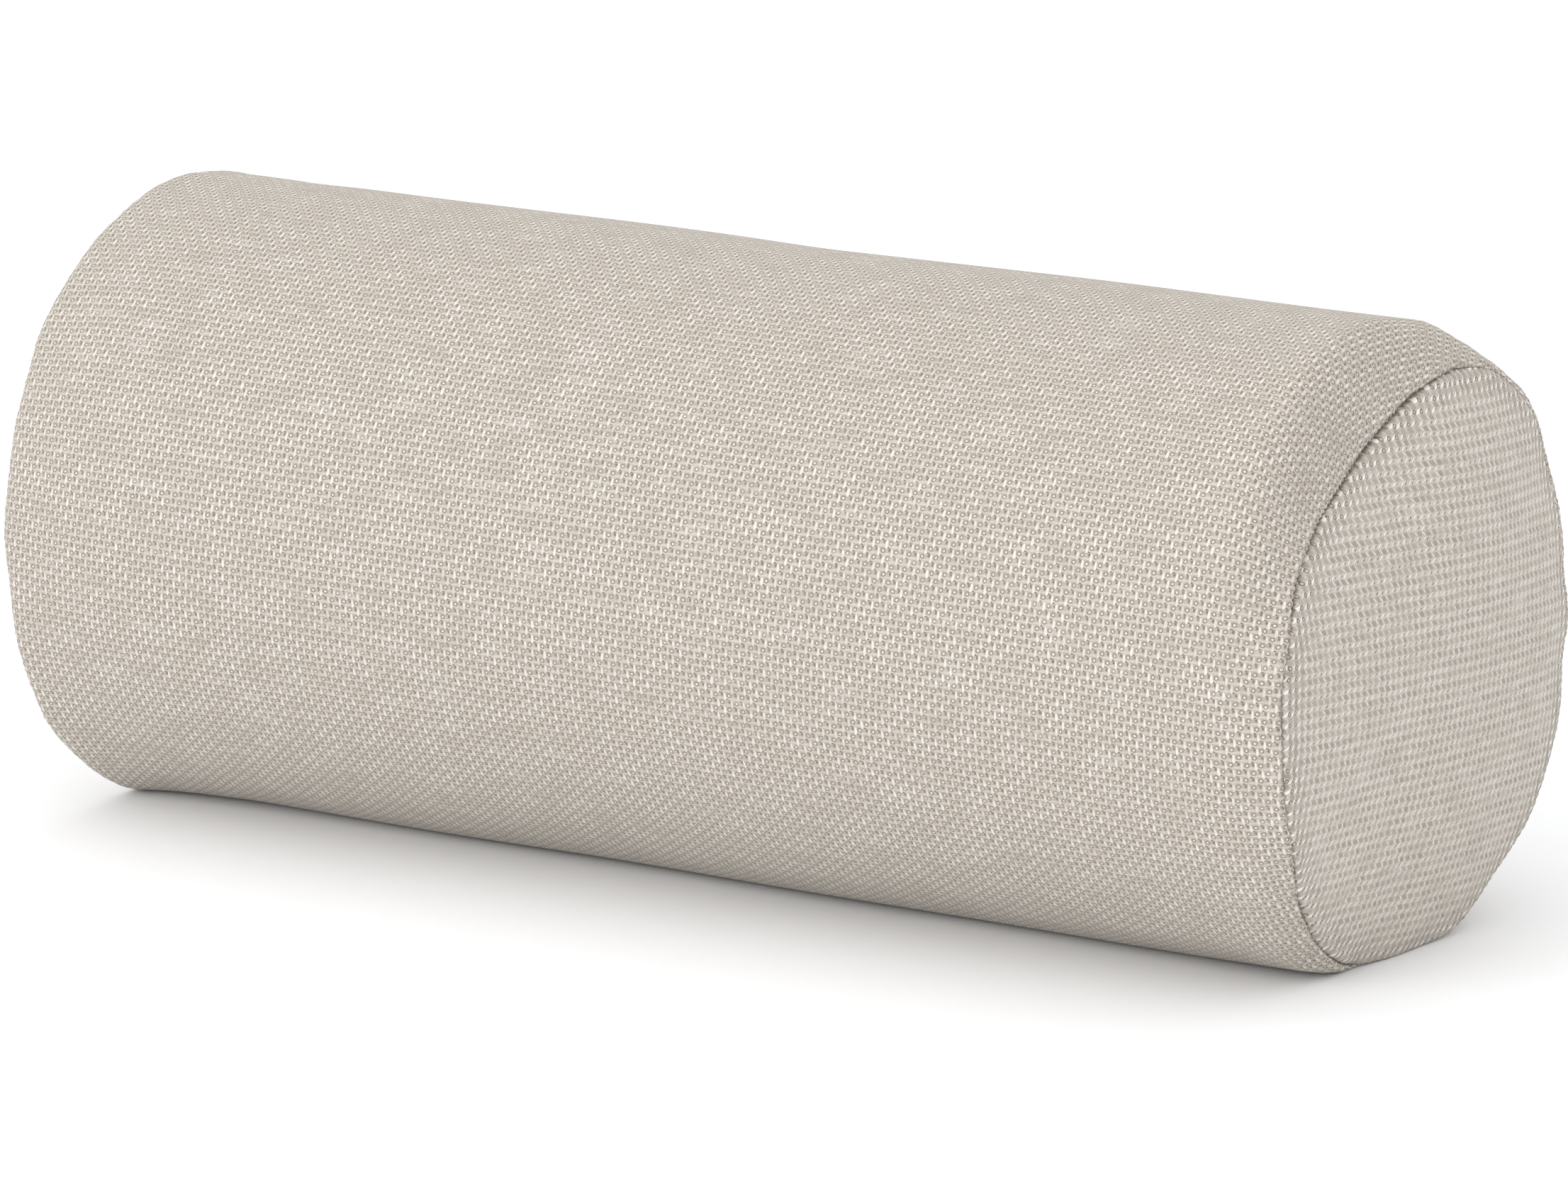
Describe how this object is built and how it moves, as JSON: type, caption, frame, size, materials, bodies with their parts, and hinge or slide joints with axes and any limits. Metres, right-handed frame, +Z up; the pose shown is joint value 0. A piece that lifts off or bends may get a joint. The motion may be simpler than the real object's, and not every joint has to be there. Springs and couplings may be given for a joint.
{
  "type": "bolster pillow",
  "caption": "Round bolster pillow: a foam roll in a sewn liner, inside a two-tone woven cover with plain end seams and a zip along the back.",
  "frame": {"origin": "under the middle of the pillow, on the surface that it lies on", "axes": "+X along the roll, +Y towards the back, where the zip is, and +Z up"},
  "size_m": [0.43, 0.18, 0.1769],
  "materials": {
    "cover_fabric": "matte",
    "cover_thread": "matte",
    "zip_tape": "matte",
    "zip_coil": "satin",
    "zip_metal": "satin",
    "liner_fabric": "matte",
    "liner_thread": "matte",
    "wadding": "matte",
    "foam": "matte",
    "label_ribbon": "satin"
  },
  "bodies": {
    "bolster": {"cover_body_panel": "cover_fabric", "cover_end_panel_left": "cover_fabric", "cover_end_panel_right": "cover_fabric", "end_seam_thread_left": "cover_thread", "end_seam_thread_right": "cover_thread", "closing_seam_thread_left": "cover_thread", "closing_seam_thread_right": "cover_thread", "zip_stitch_upper": "cover_thread", "zip_stitch_lower": "cover_thread", "zip_tape_upper": "zip_tape", "zip_tape_lower": "zip_tape", "zip_coil_upper": "zip_coil", "zip_coil_lower": "zip_coil", "zip_top_stop_upper": "zip_metal", "zip_top_stop_lower": "zip_metal", "zip_bottom_stop": "zip_metal", "care_label": "label_ribbon", "liner_body": "liner_fabric", "liner_end_left": "liner_fabric", "liner_end_right": "liner_fabric", "liner_seam_thread_left": "liner_thread", "liner_seam_thread_right": "liner_thread", "liner_closing_seam_thread": "liner_thread", "wadding_wrap": "wadding", "wadding_disc_left": "wadding", "wadding_disc_right": "wadding", "foam_core": "foam"},
    "slider": {"zip_slider": "zip_metal"},
    "pull": {"zip_pull_tab": "zip_metal"}
  },
  "joints": [
    {"name": "zip_slide", "type": "slide", "parent": "bolster", "child": "slider", "axis": [1, 0, 0], "range_m": [0, 0.2967], "deforming": ["zip_coil_upper", "zip_coil_lower"]},
    {"name": "pull_swing", "type": "hinge", "parent": "slider", "child": "pull", "pos_m": [-0.1483, 0.08115, 0.13378], "axis": [0, -0.5, 0.866], "range_deg": [0, 180]}
  ]
}
